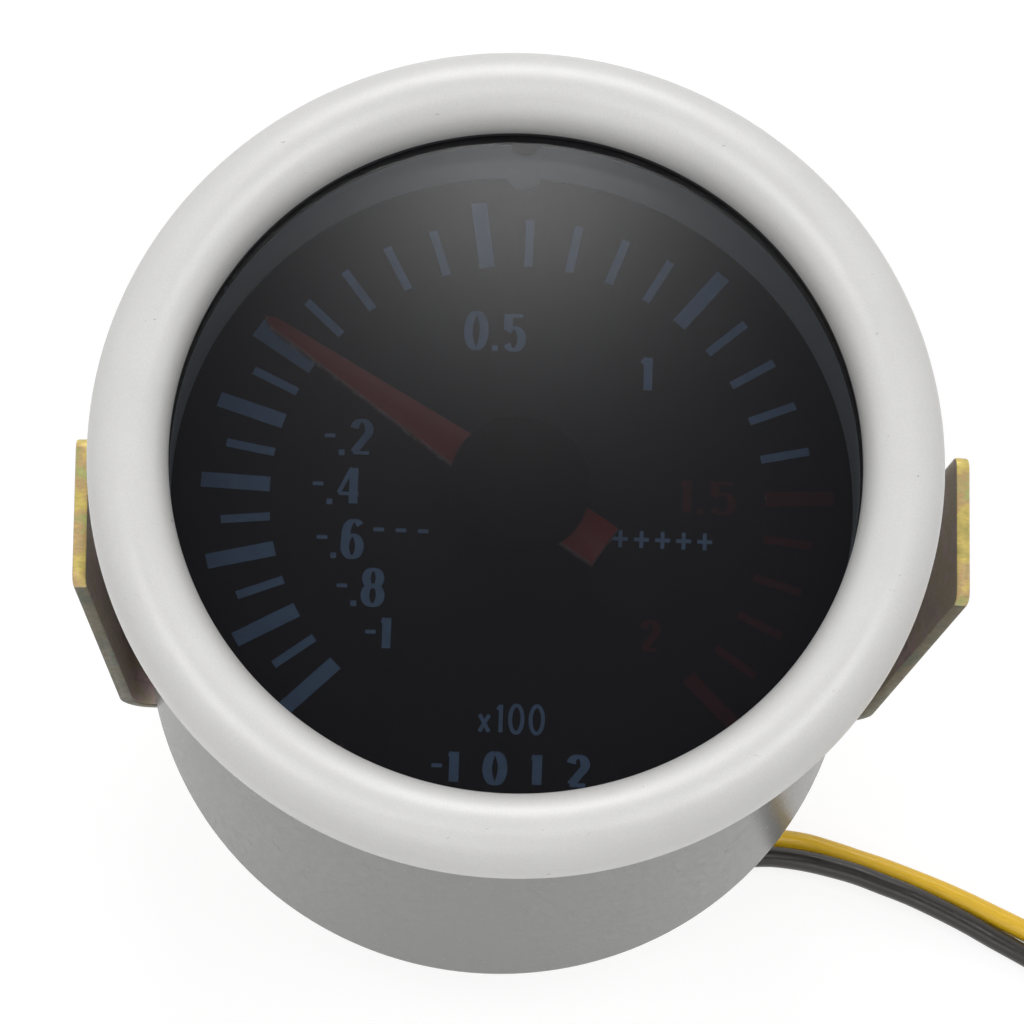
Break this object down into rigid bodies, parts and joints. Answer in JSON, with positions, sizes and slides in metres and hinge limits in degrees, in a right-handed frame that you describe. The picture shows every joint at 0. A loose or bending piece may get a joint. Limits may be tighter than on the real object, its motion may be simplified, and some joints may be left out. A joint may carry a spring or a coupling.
{
  "type": "boost gauge",
  "caption": "Round panel gauge for boost pressure with a smoked lens, lit dial, rear hose barb, U bracket on two studs and a pair of lamp wires.",
  "frame": {"origin": "on the axis of the gauge, on the surface that its studs, hose barb and lamp holder stand on", "axes": "+Z along the gauge's axis out of the dial, +Y towards the top of the dial, the bracket's arms on +X and -X"},
  "size_m": [0.102, 0.06, 0.0622],
  "materials": {
    "case_paint": "semi-gloss grey paint",
    "bezel_paint": "satin silver paint",
    "smoked_glass": "smoked, polished",
    "clear_glass": "clear",
    "diffuser": "translucent, blue-grey",
    "dial_print": "matt black print",
    "white_plastic": "matt",
    "holder_plastic": "moulded",
    "red_pointer": "red foil on clear plastic",
    "black_plastic": "satin",
    "black_rubber": "moulded",
    "brass": "machined",
    "bronze": "drawn",
    "nickel": "nickel plate",
    "steel": "bright zinc plate",
    "yellow_zinc": "yellow passivated zinc plate",
    "yellow_wire": "extruded vinyl",
    "black_wire": "extruded vinyl",
    "tinned_copper": "tinned strands"
  },
  "bodies": {
    "gauge": {"case_can": "case_paint", "bezel": "bezel_paint", "lens": "smoked_glass", "lens_gasket": "black_rubber", "light_ring": "diffuser", "dial_plate": "dial_print", "inner_housing": "white_plastic", "pressure_socket": "brass", "stem_washer": "black_rubber", "stem_nut": "nickel", "bourdon_tube": "bronze", "lower_plate": "brass", "upper_plate": "brass", "pillars": "brass", "plate_screws": "steel", "hairspring": "bronze", "hairspring_stud": "brass", "studs": "steel", "lamp_holder": "holder_plastic", "holder_seal": "black_rubber", "lamp_bulb": "clear_glass", "lamp_contacts": "brass", "wire_grommet": "black_rubber", "yellow_lead": "yellow_wire", "yellow_coil": "yellow_wire", "black_lead": "black_wire", "black_coil": "black_wire", "bare_ends": "tinned_copper", "wire_tie": "black_plastic"},
    "sector": {"sector_gear": "brass", "sector_arbor": "steel", "link_rivet": "steel"},
    "link_arm": {"link": "brass"},
    "needle": {"spindle": "steel", "pinion": "brass", "spring_collet": "brass", "pointer": "red_pointer", "pointer_cap": "black_plastic"},
    "clamp": {"bracket": "yellow_zinc", "lock_washers": "steel"},
    "left_nut": {"nut_left": "nickel"},
    "right_nut": {"nut_right": "nickel"}
  },
  "joints": [
    {"name": "sector_swing", "type": "hinge", "parent": "gauge", "child": "sector", "pos_m": [-0.00931, -0.00938, 0.04], "axis": [0, 0, 1], "range_deg": [-9.75, 24], "deforming": ["bourdon_tube"]},
    {"name": "link_pivot", "type": "hinge", "parent": "sector", "child": "link_arm", "pos_m": [-0.01278, -0.00578, 0.041], "axis": [0, 0, 1], "range_deg": [-24, 9.75]},
    {"name": "pointer_spin", "type": "hinge", "parent": "gauge", "child": "needle", "pos_m": [0.0004, 0, 0.052], "axis": [0, 0, 1], "range_deg": [-192, 78], "deforming": ["hairspring"]},
    {"name": "clamp_slide", "type": "slide", "parent": "gauge", "child": "clamp", "axis": [0, 0, -1], "range_m": [0, 0.007]},
    {"name": "left_nut_spin", "type": "hinge", "parent": "clamp", "child": "left_nut", "pos_m": [-0.012, 0, 0.01], "axis": [0, 0, -1], "range_deg": [0, 3600]},
    {"name": "right_nut_spin", "type": "hinge", "parent": "clamp", "child": "right_nut", "pos_m": [0.012, 0, 0.01], "axis": [0, 0, -1], "range_deg": [0, 3600]}
  ],
  "couplings": [
    {"joint": "pointer_spin", "follows": "sector_swing", "ratio": -8},
    {"joint": "link_pivot", "follows": "sector_swing", "ratio": -1},
    {"joint": "left_nut_spin", "follows": "clamp_slide", "rad_per_m": 8976},
    {"joint": "right_nut_spin", "follows": "clamp_slide", "rad_per_m": 8976}
  ]
}
